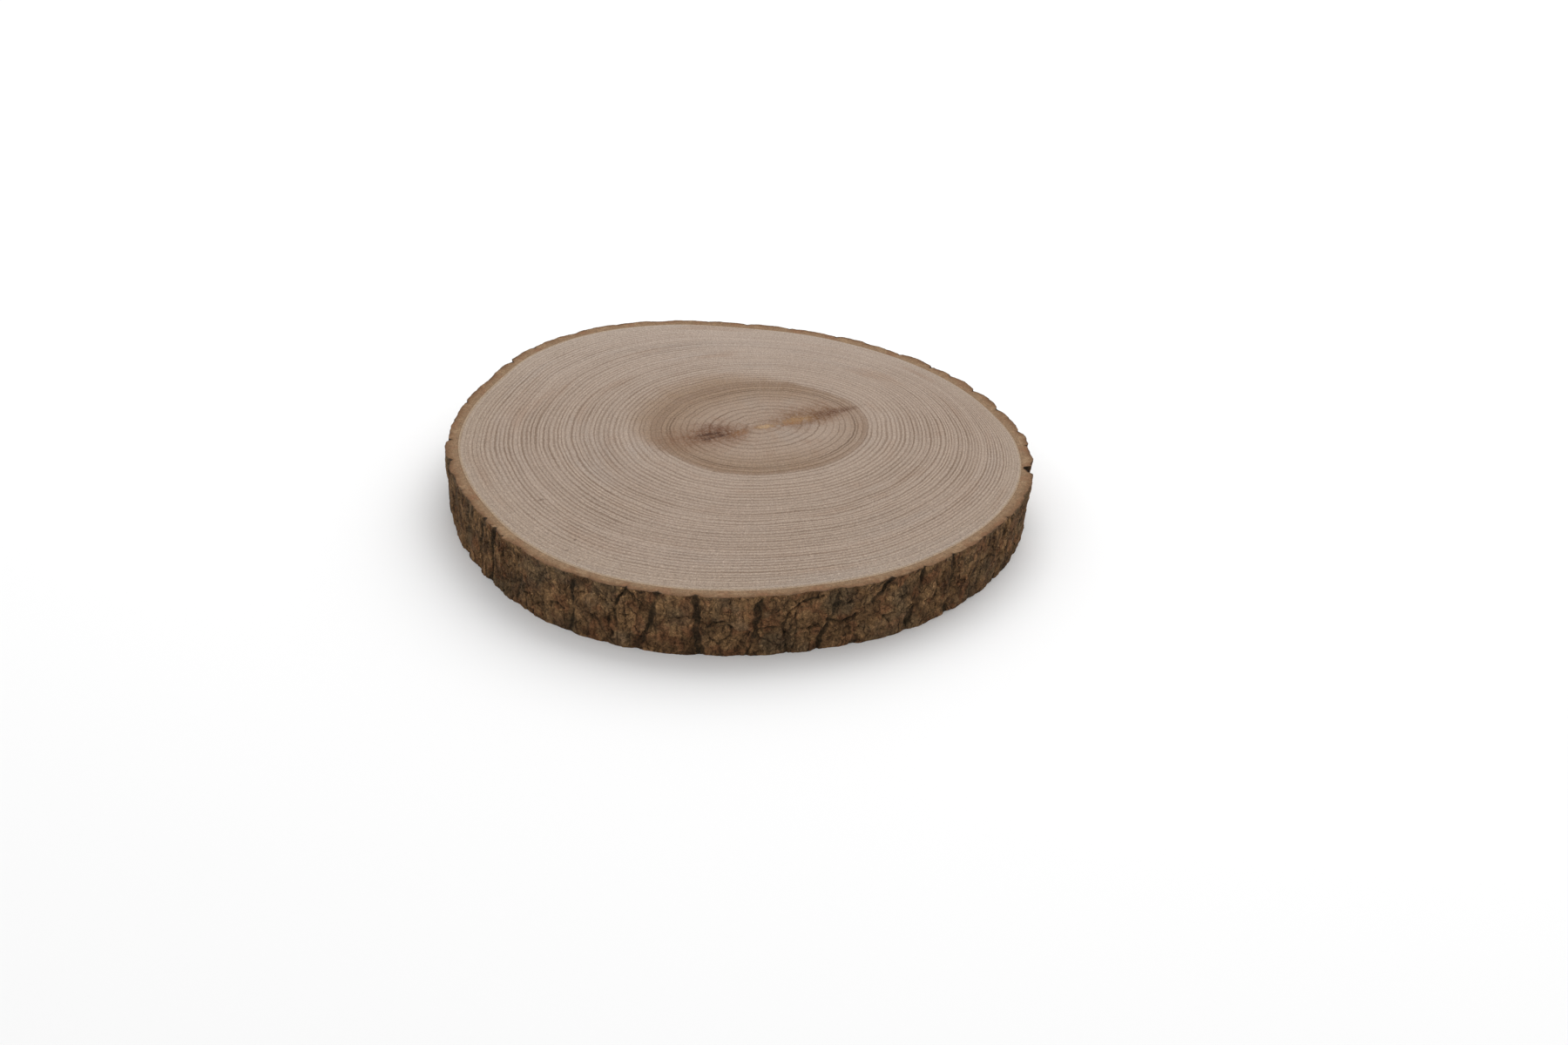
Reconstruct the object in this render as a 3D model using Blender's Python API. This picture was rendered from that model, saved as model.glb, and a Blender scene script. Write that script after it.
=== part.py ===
"""A round slice sawn across a hardwood trunk, with its bark still on.

The slice grew as one piece, so it is one closed solid: a flat disc of wood that follows the
trunk's uneven outline, with a ring of fissured bark round it. Units are metres and +Z is up.
The origin is the middle of the lower face, which the slice lies on.
"""

import math
import random

import bmesh
import bpy
from mathutils import Vector, noise

MM = 0.001

# Size of the slice
THICKNESS = 33.0 * MM
BARK_THICKNESS = 6.0 * MM
PITH = (13.5 * MM, 19.5 * MM)

# Radius of the outside of the bark at the upper face, every 15 degrees from +X towards +Y
TRUNK_RADII_MM = (
    149.0, 143.9, 141.6, 141.3, 142.6, 146.4, 151.3, 161.2, 167.1, 165.4, 156.8, 152.6,
    149.4, 146.2, 145.7, 149.6, 153.8, 156.0, 156.3, 156.0, 157.4, 156.1, 155.0, 152.9,
)

# The trunk is a little narrower at the lower face, and leans there towards -X
LOWER_FACE_SCALE = 0.985
LOWER_FACE_SHIFT = -2.2 * MM

# Long fissures of the bark, in order round the trunk:
# degrees at the upper face, degrees at the lower face, width in mm, depth in mm
FRONT_FISSURES = (
    (205.5, 203.0, 3.0, 0.9),
    (213.0, 210.0, 5.0, 1.8),
    (218.0, 215.4, 4.6, 1.8),
    (227.6, 226.0, 3.0, 0.9),
    (241.6, 240.0, 4.0, 1.2),
    (251.2, 248.2, 2.4, 0.8),
    (257.2, 254.4, 5.0, 1.3),
    (263.6, 264.9, 4.6, 1.7),
    (275.4, 273.3, 4.2, 1.7),
    (282.2, 281.0, 2.0, 0.7),
    (289.0, 285.6, 4.0, 1.2),
    (297.9, 291.9, 4.2, 1.4),
    (305.4, 302.8, 3.6, 1.3),
    (311.9, 312.4, 3.2, 1.3),
    (320.2, 318.6, 4.0, 1.1),
    (329.0, 327.2, 3.4, 1.0),
    (338.5, 337.4, 3.6, 1.1),
    (348.8, 348.0, 9.0, 4.4),
)
FISSURE_WANDER_DEG = 0.35

# The rest of the bark has fissures like those, drawn with a fixed seed
SEED = 26
BACK_SPACING_DEG = 9.0
BACK_SPACING_SPREAD = 0.16
BACK_LEAN_DEG = (-3.2, 0.8)
BACK_WIDTH_MM = (3.0, 4.8)
BACK_DEPTH_MM = (0.9, 1.9)

# Every ridge between two fissures is crowned, and slanting cracks break it into scales
RIDGE_CROWN = 0.7 * MM
CRACKS_PER_RIDGE = (1, 2)
CRACK_SLANT = 5.0 * MM
CRACK_HALF_WIDTH = 1.4 * MM
CRACK_DEPTH = 1.1 * MM
SCALE_LEVEL = 0.4 * MM

# Lumps all over the bark, longer up the trunk than round it
LUMP_HEIGHT = 0.85 * MM
LUMP_SIZE = 6.5 * MM
LUMP_STRETCH = 1.6

# Mesh of the wall: columns follow the fissures, rows run round the trunk
COLUMNS_PER_RIDGE = 8
WALL_ROWS = 12

MATERIALS = {
    "cut_wood": ((0.355, 0.268, 0.209, 1.0), 0.72),
    "bark_section": ((0.243, 0.153, 0.095, 1.0), 0.80),
    "outer_bark": ((0.072, 0.044, 0.025, 1.0), 0.92),
}


def trunk_radius(degrees):
    """Radius of the bark's outside at the upper face, on a smooth closed curve."""
    step = 360 / len(TRUNK_RADII_MM)
    index = math.floor(degrees / step)
    t = degrees / step - index
    before, start, end, after = (TRUNK_RADII_MM[(index + k) % len(TRUNK_RADII_MM)] for k in range(-1, 3))
    leave = (end - before) / 2
    arrive = (after - start) / 2
    rise = end - start
    cubic = leave + arrive - 2 * rise
    square = 3 * rise - 2 * leave - arrive
    return (start + t * (leave + t * (square + t * cubic))) * MM


def on_trunk(degrees, radius, height):
    """Point at an angle, with its upper-face radius taken in for the narrower lower face."""
    below = 1 - height / THICKNESS
    radius *= 1 + (LOWER_FACE_SCALE - 1) * below
    angle = math.radians(degrees)
    x = radius * math.cos(angle) + LOWER_FACE_SHIFT * below
    return Vector((x, radius * math.sin(angle), height))


class Bark:
    """Relief of the bark's outside, in ridges that run from one fissure to the next."""

    def __init__(self):
        draw = random.Random(SEED)
        self.fissures = list(FRONT_FISSURES) + self.back_fissures(draw)
        self.phases = [draw.uniform(0, math.tau) for _ in self.fissures]
        self.ridges = [self.ridge_scales(draw) for _ in self.fissures]

    def back_fissures(self, draw):
        """Fissures from the last front one round the back to the first."""
        start = FRONT_FISSURES[-1][0]
        span = FRONT_FISSURES[0][0] + 360 - start
        count = round(span / BACK_SPACING_DEG)
        fissures = []
        for index in range(1, count):
            shift = draw.uniform(-BACK_SPACING_SPREAD, BACK_SPACING_SPREAD)
            top = start + span * (index + shift) / count
            base = top + draw.uniform(*BACK_LEAN_DEG)
            fissures.append((top, base, draw.uniform(*BACK_WIDTH_MM), draw.uniform(*BACK_DEPTH_MM)))
        return fissures

    def ridge_scales(self, draw):
        """Cracks across one ridge, as heights at its two sides, and the level of each scale."""
        count = draw.randint(*CRACKS_PER_RIDGE)
        cracks = []
        for index in range(count):
            height = THICKNESS * (index + 1 + draw.uniform(-0.3, 0.3)) / (count + 1)
            slant = draw.uniform(-CRACK_SLANT, CRACK_SLANT)
            cracks.append((height - slant / 2, height + slant / 2))
        levels = [draw.uniform(-SCALE_LEVEL, SCALE_LEVEL) for _ in range(count + 1)]
        return cracks, levels

    def fissure_degrees(self, index, height):
        """Middle line of a fissure at a height, counted on past 360 degrees."""
        turns, place = divmod(index, len(self.fissures))
        top, base = self.fissures[place][:2]
        share = height / THICKNESS
        wander = FISSURE_WANDER_DEG * math.sin(math.tau * share + self.phases[place])
        return base + (top - base) * share + wander + 360 * turns

    def ridge_edges(self, ridge, height):
        """Angles of a ridge's two fissures, and the shares of its width that they take up."""
        left = self.fissure_degrees(ridge, height)
        right = self.fissure_degrees(ridge + 1, height)
        width = math.radians(right - left) * trunk_radius(left)
        left_share = self.fissures[ridge][2] * MM / 2 / width
        right_share = self.fissures[(ridge + 1) % len(self.fissures)][2] * MM / 2 / width
        return left, right, left_share, right_share

    def point(self, ridge, across, height):
        """Point of the bark's outside, across a ridge from one fissure's middle to the next."""
        left, right, left_share, right_share = self.ridge_edges(ridge, height)
        degrees = left + (right - left) * across
        from_left = across / left_share
        from_right = (1 - across) / right_share
        relief = RIDGE_CROWN * (math.sin(math.pi * across) - 0.6)
        if from_left < 1:
            relief -= self.fissures[ridge][3] * MM * (1 - from_left**2)
        elif from_right < 1:
            relief -= self.fissures[(ridge + 1) % len(self.fissures)][3] * MM * (1 - from_right**2)
        else:
            relief += self.scale_relief(ridge, across, height)
        place = on_trunk(degrees, trunk_radius(degrees), height) / LUMP_SIZE
        place.z /= LUMP_STRETCH
        relief += LUMP_HEIGHT * noise.noise(place)
        return on_trunk(degrees, trunk_radius(degrees) + relief, height)

    def scale_relief(self, ridge, across, height):
        """Level of the scale at a place on a ridge, with the cracks that part the scales."""
        cracks, levels = self.ridges[ridge]
        relief = 0
        scale = 0
        for at_left, at_right in cracks:
            above = height - (at_left + (at_right - at_left) * across)
            relief -= CRACK_DEPTH * math.exp(-((above / CRACK_HALF_WIDTH) ** 2))
            scale += above > 0
        return relief + levels[scale]


def make_material(name):
    """Principled material with a colour and a roughness."""
    colour, roughness = MATERIALS[name]
    material = bpy.data.materials.new(name)
    material.use_nodes = True
    shader = material.node_tree.nodes["Principled BSDF"]
    shader.inputs["Base Color"].default_value = colour
    shader.inputs["Roughness"].default_value = roughness
    shader.inputs["Metallic"].default_value = 0.0
    material.diffuse_color = colour
    return material


def make_drum(columns, radius):
    """Plain drum with the wall's rows and, on both faces, a ring for the bark's section."""
    drum = bmesh.new()
    bmesh.ops.create_cone(
        drum, cap_ends=True, cap_tris=True, segments=columns,
        radius1=radius, radius2=radius, depth=THICKNESS,
    )
    bmesh.ops.translate(drum, verts=drum.verts, vec=(0, 0, THICKNESS / 2))
    uprights = [edge for edge in drum.edges if edge.verts[0].co.z != edge.verts[1].co.z]
    cut_faces = [face for face in drum.faces if len(face.verts) == 3]
    bmesh.ops.inset_region(drum, faces=cut_faces, thickness=BARK_THICKNESS)
    bmesh.ops.subdivide_edges(drum, edges=uprights, cuts=WALL_ROWS - 1)
    return drum


def shape_drum(drum, columns, radius, bark):
    """Move every vertex of the drum to its place on the slice."""
    for vertex in drum.verts:
        x, y, height = vertex.co
        reach = math.hypot(x, y)
        if reach < radius / 2:
            vertex.co = (*PITH, height)
            continue
        column = round(math.degrees(math.atan2(y, x)) / 360 * columns) % columns
        ridge, place = divmod(column, COLUMNS_PER_RIDGE)
        left, right, left_share, right_share = bark.ridge_edges(ridge, height)
        across = left_share + (1 - left_share - right_share) * (place - 1) / (COLUMNS_PER_RIDGE - 2)
        if place == 0:
            across = 0
        if reach < radius - BARK_THICKNESS / 2:
            degrees = left + (right - left) * across
            vertex.co = on_trunk(degrees, trunk_radius(degrees) - BARK_THICKNESS, height)
        else:
            vertex.co = bark.point(ridge, across, height)


def paint_drum(drum):
    """Give the wood, the cut edge of the bark and the bark's outside their materials."""
    names = list(MATERIALS)
    drum.normal_update()
    for face in drum.faces:
        if abs(face.normal.z) < 0.9:
            face.material_index = names.index("outer_bark")
            face.smooth = True
        elif len(face.verts) == 4:
            face.material_index = names.index("bark_section")
        else:
            face.material_index = names.index("cut_wood")


def main():
    for thing in list(bpy.data.objects):
        bpy.data.objects.remove(thing)
    bark = Bark()
    columns = COLUMNS_PER_RIDGE * len(bark.fissures)
    radius = trunk_radius(0)
    drum = make_drum(columns, radius)
    shape_drum(drum, columns, radius, bark)
    paint_drum(drum)
    mesh = bpy.data.meshes.new("wood_slice")
    drum.to_mesh(mesh)
    drum.free()
    for name in MATERIALS:
        mesh.materials.append(make_material(name))
    wood_slice = bpy.data.objects.new("wood_slice", mesh)
    collection = bpy.data.collections.new("wood_slice")
    bpy.context.scene.collection.children.link(collection)
    collection.objects.link(wood_slice)


main()
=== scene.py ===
"""Looks of the wood slice: the cut wood with its growth rings, and the bark round it."""

import math
import random

import bmesh
import bpy
import numpy as np
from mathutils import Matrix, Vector, noise


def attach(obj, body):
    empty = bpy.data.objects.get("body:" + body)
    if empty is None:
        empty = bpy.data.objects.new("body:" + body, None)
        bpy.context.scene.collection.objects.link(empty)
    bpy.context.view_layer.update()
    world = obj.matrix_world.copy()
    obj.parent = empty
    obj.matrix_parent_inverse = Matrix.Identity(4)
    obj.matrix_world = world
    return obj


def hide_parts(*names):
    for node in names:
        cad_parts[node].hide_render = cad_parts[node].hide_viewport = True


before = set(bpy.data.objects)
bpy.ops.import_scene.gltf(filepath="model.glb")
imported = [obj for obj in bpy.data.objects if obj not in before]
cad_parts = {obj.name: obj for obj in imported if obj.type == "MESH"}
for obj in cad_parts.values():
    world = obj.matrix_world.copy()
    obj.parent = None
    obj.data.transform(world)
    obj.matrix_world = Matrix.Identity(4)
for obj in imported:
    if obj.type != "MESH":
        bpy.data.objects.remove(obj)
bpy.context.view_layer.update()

MM = 0.001

# Size of the slice
THICKNESS = 33.0 * MM
BARK_THICKNESS = 6.0 * MM
PITH = (13.5 * MM, 19.5 * MM)

# Radius of the outside of the bark at the upper face, every 15 degrees from +X towards +Y
TRUNK_RADII_MM = (
    149.0, 143.9, 141.6, 141.3, 142.6, 146.4, 151.3, 161.2, 167.1, 165.4, 156.8, 152.6,
    149.4, 146.2, 145.7, 149.6, 153.8, 156.0, 156.3, 156.0, 157.4, 156.1, 155.0, 152.9,
)

# The trunk is a little narrower at the lower face, and leans there towards -X
LOWER_FACE_SCALE = 0.985
LOWER_FACE_SHIFT = -2.2 * MM

# Long fissures of the bark, in order round the trunk:
# degrees at the upper face, degrees at the lower face, width in mm, depth in mm
FRONT_FISSURES = (
    (205.5, 203.0, 3.0, 0.9),
    (213.0, 210.0, 5.0, 1.8),
    (218.0, 215.4, 4.6, 1.8),
    (227.6, 226.0, 3.0, 0.9),
    (241.6, 240.0, 4.0, 1.2),
    (251.2, 248.2, 2.4, 0.8),
    (257.2, 254.4, 5.0, 1.3),
    (263.6, 264.9, 4.6, 1.7),
    (275.4, 273.3, 4.2, 1.7),
    (282.2, 281.0, 2.0, 0.7),
    (289.0, 285.6, 4.0, 1.2),
    (297.9, 291.9, 4.2, 1.4),
    (305.4, 302.8, 3.6, 1.3),
    (311.9, 312.4, 3.2, 1.3),
    (320.2, 318.6, 4.0, 1.1),
    (329.0, 327.2, 3.4, 1.0),
    (338.5, 337.4, 3.6, 1.1),
    (348.8, 348.0, 9.0, 4.4),
)
FISSURE_WANDER_DEG = 0.35

# The rest of the bark has fissures like those, drawn with a fixed seed
SEED = 26
BACK_SPACING_DEG = 9.0
BACK_SPACING_SPREAD = 0.16
BACK_LEAN_DEG = (-3.2, 0.8)
BACK_WIDTH_MM = (3.0, 4.8)
BACK_DEPTH_MM = (0.9, 1.9)

# Every ridge between two fissures is crowned, and slanting cracks break it into scales
RIDGE_CROWN = 0.7 * MM
CRACKS_PER_RIDGE = (1, 2)
CRACK_SLANT = 5.0 * MM
CRACK_HALF_WIDTH = 1.4 * MM
CRACK_DEPTH = 1.1 * MM
SCALE_LEVEL = 0.4 * MM

# Lumps all over the bark, longer up the trunk than round it
LUMP_HEIGHT = 0.85 * MM
LUMP_SIZE = 6.5 * MM
LUMP_STRETCH = 1.6

# Cracks in the front of the bark: degrees and millimetres below the upper face, point by point
FRONT_CRACKS = (
    ((221.5, 0), (221.9, 6), (221.3, 11)),
    ((235.3, 21), (237, 20.2), (238.7, 21.8)),
    ((250.0, 9), (250.5, 5), (251.6, 1), (253, 3.5), (254.5, 8)),
    ((249.2, 14), (248.2, 19), (248.4, 23), (249.1, 27)),
    (
        (266.3, 18), (267.0, 14.4), (269.1, 13.7), (270.3, 16.5),
        (270.0, 22), (268.2, 26.3), (266.7, 23.5),
    ),
    ((275.0, 18.6), (276.6, 17.2), (278.2, 18.2)),
    ((280.0, 9.8), (281.9, 5.8), (285.6, 3.0)),
    ((280.2, 10), (279.2, 17), (279.6, 24), (280.2, 32)),
    ((287.2, 17), (289.6, 19.2), (292.1, 16)),
    ((297.6, 21), (298.6, 24), (298.9, 28)),
    ((308.2, 9), (309.0, 14), (308.4, 20)),
    ((314.4, 18), (316.1, 18.6)),
    ((324.0, 8), (324.9, 13), (326.2, 15)),
)
FRONT_CRACK_WIDTH = 0.75 * MM
FRONT_CRACK_DEPTH = 1.0 * MM
FRONT_CRACK_JAG = 0.9
FRONT_CRACK_REACH_DEG = 2

# Edge lifted beside such a crack: height as a share of its depth, distance and half width in mm
LIFTED_EDGE = (0.35, 1.9, 0.9)

# A fissure deeper than this, in mm, is a notch that keeps its full width
NOTCH_DEPTH = 3.0
NOTCH_SPREAD = 1.0

# Section of a furrow, in half widths: where its side ends, and how wide its side is
FURROW_END = 1.15
FURROW_SIDE = 0.95

# Bends of the fissures and grain of the bark: reach and size in mm
FISSURE_BENDS = ((1.9, 6.5), (1.0, 2.4))
COARSE_GRAIN = (0.34, 1.9)
FINE_GRAIN = (0.20, 0.95)

# Values that wander from place to place: size in mm, shift, middle, reach, least and most
FISSURE_SPREAD = (7.0, (7, 3, 5), 1.1, 1.0, 0.45, math.inf)
FISSURE_FADE = (11.0, (2, 9, 4), 0.62, 1.1, 0.15, 0.95)
GROOVE_STRENGTH = (4.2, (3, 8, 1), 0.25, 1.0, 0.0, math.inf)
CRACK_STRENGTH = (7.0, (1, 5, 8), 0.6, 1.6, 0.0, 1.0)
SPLIT_STRENGTH = (9.0, (0, 0, 0), 0.35, 1.9, 0.0, 1.0)

# Groove along the middle of a furrow: depth and half width in mm
GROOVE_DEPTH = 0.8
GROOVE_HALF_WIDTH = 0.6

# Ridges: height of the crown's foot, where scales start beside a fissure and how soon they are full
CROWN_FOOT = 0.6
SCALE_START = 0.7
SCALE_RISE = 1.6

# Next to the saw cuts the relief is worn to a share of its height
WORN_SHARE = 0.45
WORN_REACH = 3.5 * MM

# Flakes of the outer layers: size of a flake and of the layers in mm, and steps between layers
FLAKE_SIZE = 8.5
LAYER_SIZE = 3.6
LAYER_STEPS = 3.2

# Fine upright wrinkles, strongest on the left of the trunk
WRINKLE_DEPTH = 1.1 * MM
WRINKLED_DEGREES = (186, 200, 226, 240)

# How dark a full furrow, groove, wrinkle and drawn crack look, and the depth that is darkest:
# partly the furrows' own dark colour, partly painted shade in the recesses
FURROW_DARKNESS = 1.5
DARKEST_DEPTH = 1.3
GROOVE_DARKNESS = 1.3
WRINKLE_DARKNESS = 0.9
FRONT_CRACK_DARKNESS = 1.3

# Where the three noises of a drift are read
DRIFT_SHIFTS = ((9.3, -1.5, -8.0), (0.0, 0.0, 0.0), (-6.3, 0.1, -8.5))

# Growth rings, which widen towards the pith and are drawn out along the two branch traces
RINGS = 56
RING_WIDTH = 1.85
YOUNG_GROWTH = 48.0
YOUNG_RINGS = 14.0
TRACE_DEGREES = 25.0
TRACE_STRETCH = 0.2
TRACE_RINGS = 7.0

# The heart ends on one ring, and beyond it on the side that it spreads to. Inside it lies a thin
# dark ring: the ring numbers where it starts, is full, fades and ends
HEART_RINGS = 13.7
HEART_SPREAD_DEGREES = 140
DARK_RING = (11.1, 11.3, 11.34, 11.54)

# Stained places on the cut wood: millimetres from the pith, direction in degrees and millimetres
# aside, half length and half width in mm, how ragged, how strong, and the colour as seen
STAINS = (
    (26, 27, 2, 36, 20, 0.45, 0.60, (118, 86, 62)),
    (25, 27, 0, 27, 13, 0.70, 0.80, (108, 76, 48)),
    (20, 25, 0, 13, 4.4, 1.10, 0.80, (148, 113, 72)),
    (14, 24, -2.5, 9, 2.6, 1.00, 0.60, (132, 88, 48)),
    (35, 25, 0.5, 13, 7.5, 0.90, 0.80, (92, 60, 36)),
    (44, 25, 0.5, 17, 3.6, 0.80, 0.85, (84, 52, 32)),
    (31, 200, 0, 38, 22, 0.45, 0.65, (112, 78, 54)),
    (28, 201, 0, 28, 12, 0.70, 0.75, (104, 70, 46)),
    (27, 185, 0, 11, 9.0, 0.80, 0.60, (88, 54, 36)),
    (28, 201, 0, 16, 7.0, 0.90, 0.75, (80, 48, 26)),
    (29, 197, 0, 11, 2.0, 1.30, 0.90, (54, 26, 8)),
    (27, 206, 0, 12, 1.7, 1.30, 0.90, (54, 26, 8)),
    (14.5, 210, 0, 8, 4.0, 0.80, 0.70, (122, 82, 46)),
    (0, 20, 0, 8.5, 5.2, 0.45, 0.75, (138, 108, 80)),
    (0.5, 20, 0, 5.4, 3.0, 0.45, 0.90, (172, 142, 106)),
    (135.8, 216.6, 0, 2.6, 1.3, 0.60, 0.75, (98, 76, 62)),
    (127.6, 234.7, 0, 3.4, 0.9, 0.60, 0.50, (110, 90, 76)),
    (150.8, 233.7, 0, 1.5, 1.1, 0.60, 0.80, (84, 66, 54)),
    (161.0, 234.9, 0, 1.8, 1.2, 0.60, 0.80, (84, 66, 54)),
    (165.5, 238.5, 0, 1.8, 1.0, 0.60, 0.70, (96, 78, 64)),
    (124.3, 311.8, 0, 1.4, 1.0, 0.60, 0.70, (96, 78, 64)),
)

# Meshes
WOOD_COLUMNS = 320
WOOD_CUTS = 11
BARK_COLUMNS_PER_RIDGE = 36
BARK_ROWS = 54
BAND_CUTS = 4
MERGE_DISTANCE = 0.01 * MM
SMOOTH_DEGREES = 50

# Camera, light and floor
CAMERA_PLACE = (0.02388, -1.11876, 0.5974)
CAMERA_TILT_DEGREES = 61.375
CAMERA_LENS = 56.0
CAMERA_SENSOR = 36.0
LIGHT_PLACE = (0.4, 0.9, 1.35)
LIGHT_SIZE = 1.6
LIGHT_POWER = 15.5
SKY_STRENGTH = 0.82
FLOOR_SIZE = 12
FLOOR_GREY = 0.91


def trunk_radius(degrees):
    """Radius of the bark's outside at the upper face, on a smooth closed curve."""
    count = len(TRUNK_RADII_MM)
    step = 360 / count
    index = math.floor(degrees / step)
    t = degrees / step - index
    before, start, end, after = (TRUNK_RADII_MM[(index + k) % count] for k in range(-1, 3))
    leave = (end - before) / 2
    arrive = (after - start) / 2
    rise = end - start
    cubic = leave + arrive - 2 * rise
    square = 3 * rise - 2 * leave - arrive
    return (start + t * (leave + t * (square + t * cubic))) * MM


def on_trunk(degrees, radius, height):
    """Point at an angle, with its upper-face radius taken in for the narrower lower face."""
    angle = math.radians(degrees)
    return taken_in(radius * math.cos(angle), radius * math.sin(angle), height)


def taken_in(x, y, height):
    """Point of the slice at a height that lies under a point of the upper face."""
    below = 1 - height / THICKNESS
    scale = 1 + (LOWER_FACE_SCALE - 1) * below
    return Vector((x * scale + LOWER_FACE_SHIFT * below, y * scale, height))


class Bark:
    """Relief of the bark's outside, in ridges that run from one fissure to the next."""

    def __init__(self):
        draw = random.Random(SEED)
        self.fissures = list(FRONT_FISSURES) + self.back_fissures(draw)
        self.phases = [draw.uniform(0, math.tau) for _ in self.fissures]
        self.ridges = [self.ridge_scales(draw) for _ in self.fissures]

    def back_fissures(self, draw):
        """Fissures from the last front one round the back to the first."""
        start = FRONT_FISSURES[-1][0]
        span = FRONT_FISSURES[0][0] + 360 - start
        count = round(span / BACK_SPACING_DEG)
        fissures = []
        for index in range(1, count):
            shift = draw.uniform(-BACK_SPACING_SPREAD, BACK_SPACING_SPREAD)
            top = start + span * (index + shift) / count
            base = top + draw.uniform(*BACK_LEAN_DEG)
            fissures.append((top, base, draw.uniform(*BACK_WIDTH_MM), draw.uniform(*BACK_DEPTH_MM)))
        return fissures

    def ridge_scales(self, draw):
        """Cracks across one ridge, as heights at its two sides, and the level of each scale."""
        count = draw.randint(*CRACKS_PER_RIDGE)
        cracks = []
        for index in range(count):
            height = THICKNESS * (index + 1 + draw.uniform(-0.3, 0.3)) / (count + 1)
            slant = draw.uniform(-CRACK_SLANT, CRACK_SLANT)
            cracks.append((height - slant / 2, height + slant / 2))
        levels = [draw.uniform(-SCALE_LEVEL, SCALE_LEVEL) for _ in range(count + 1)]
        return cracks, levels

    def fissure_degrees(self, index, height):
        """Middle line of a fissure at a height, counted on past 360 degrees."""
        turns, place = divmod(index, len(self.fissures))
        top, base = self.fissures[place][:2]
        share = height / THICKNESS
        wander = FISSURE_WANDER_DEG * math.sin(math.tau * share + self.phases[place])
        return base + (top - base) * share + wander + 360 * turns

    def ridge_edges(self, ridge, height):
        """Angles of a ridge's two fissures, and the shares of its width that they take up."""
        left = self.fissure_degrees(ridge, height)
        right = self.fissure_degrees(ridge + 1, height)
        width = math.radians(right - left) * trunk_radius(left)
        left_share = self.fissures[ridge][2] * MM / 2 / width
        right_share = self.fissures[(ridge + 1) % len(self.fissures)][2] * MM / 2 / width
        return left, right, left_share, right_share

    def surface(self, ridge, across, height):
        """Angle, radius at the upper face, relief, depth in a furrow and tone of a place."""
        left, right, left_share, right_share = self.ridge_edges(ridge, height)
        degrees = left + (right - left) * across
        radius = trunk_radius(degrees)
        place = on_trunk(degrees, radius, height) / MM
        width = math.radians(right - left) * radius / MM
        stray = sum(reach * noise.noise(place / size) for reach, size in FISSURE_BENDS)
        bent = across + stray / width
        furrow, notched, distance = self.furrow(ridge, bent, (left_share, right_share), place)
        ease = min(1.0, max(0.0, distance - SCALE_START) * SCALE_RISE)
        level, crack = self.scale_relief(ridge, across, height, place)
        flake, tone, split = self.flakes(place)
        lump = Vector((place.x, place.y, place.z / LUMP_STRETCH)) * MM / LUMP_SIZE
        relief = RIDGE_CROWN * (math.sin(math.pi * across) - CROWN_FOOT)
        relief += LUMP_HEIGHT * noise.noise(lump)
        from_cut = smooth_step(0, WORN_REACH, min(height, THICKNESS - height))
        worn = WORN_SHARE + (1 - WORN_SHARE) * from_cut
        relief += ease * level - (1.0 if notched else worn) * furrow * MM
        relief += worn * ((0.4 + 0.6 * ease) * flake - ease * split * MM)
        relief += worn * bark_grain(place) * MM
        groove = GROOVE_DEPTH * min(1.0, furrow) * varied(place, *GROOVE_STRENGTH)
        groove *= math.exp(-((min(abs(bent), abs(1 - bent)) * width / GROOVE_HALF_WIDTH) ** 2))
        wrinkle = self.wrinkle(degrees, place)
        drawn = front_crack(degrees, radius, height, place)
        relief -= groove * MM + WRINKLE_DEPTH * worn * ease * wrinkle
        relief -= FRONT_CRACK_DEPTH * drawn
        # depth is how dark the place is painted: partly the furrows' own dark colour, partly
        # painted shade that grows with how deep the place lies
        depth = FURROW_DARKNESS * min(furrow, DARKEST_DEPTH) + ease * (crack + split)
        depth += GROOVE_DARKNESS * groove
        depth += WRINKLE_DARKNESS * ease * wrinkle
        depth += FRONT_CRACK_DARKNESS * max(0.0, drawn)
        return degrees, radius, relief, depth, tone

    def furrow(self, ridge, bent, shares, place):
        """Depth in mm of the furrow at a place, whether it is a notch's, and how many half widths
        away the nearest fissure is."""
        spread = varied(place, *FISSURE_SPREAD)
        depths = self.fissures[ridge][3], self.fissures[(ridge + 1) % len(self.fissures)][3]
        distances = []
        for gap, share, depth in zip((abs(bent), abs(1 - bent)), shares, depths):
            distances.append(gap / share / (spread if depth < NOTCH_DEPTH else NOTCH_SPREAD))
        furrows = [depth * furrow_section(far) for depth, far in zip(depths, distances)]
        deeper = 0 if furrows[0] > furrows[1] else 1
        notched = depths[deeper] > NOTCH_DEPTH
        fade = 1.0 if notched else varied(place, *FISSURE_FADE)
        return furrows[deeper] * fade, notched, min(distances)

    def wrinkle(self, degrees, place):
        """How deep in a fine upright wrinkle a place is, from 0 to 1."""
        start, full, fading, end = WRINKLED_DEGREES
        turned = degrees % 360
        zone = smooth_step(start, full, turned) * (1 - smooth_step(fading, end, turned))
        drawn_out = Vector((place.x / 4.0, place.y / 4.0, place.z / 15.0))
        line = abs(noise.noise(drawn_out + 0.35 * drift(place / 4.0)))
        patch = smooth_step(-0.25, 0.35, noise.noise(place / 13.0 + Vector((4, 4, 9))))
        return (0.3 + 0.7 * zone) * (0.25 + 0.75 * patch) * (1 - smooth_step(0.0, 0.13, line))

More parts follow.
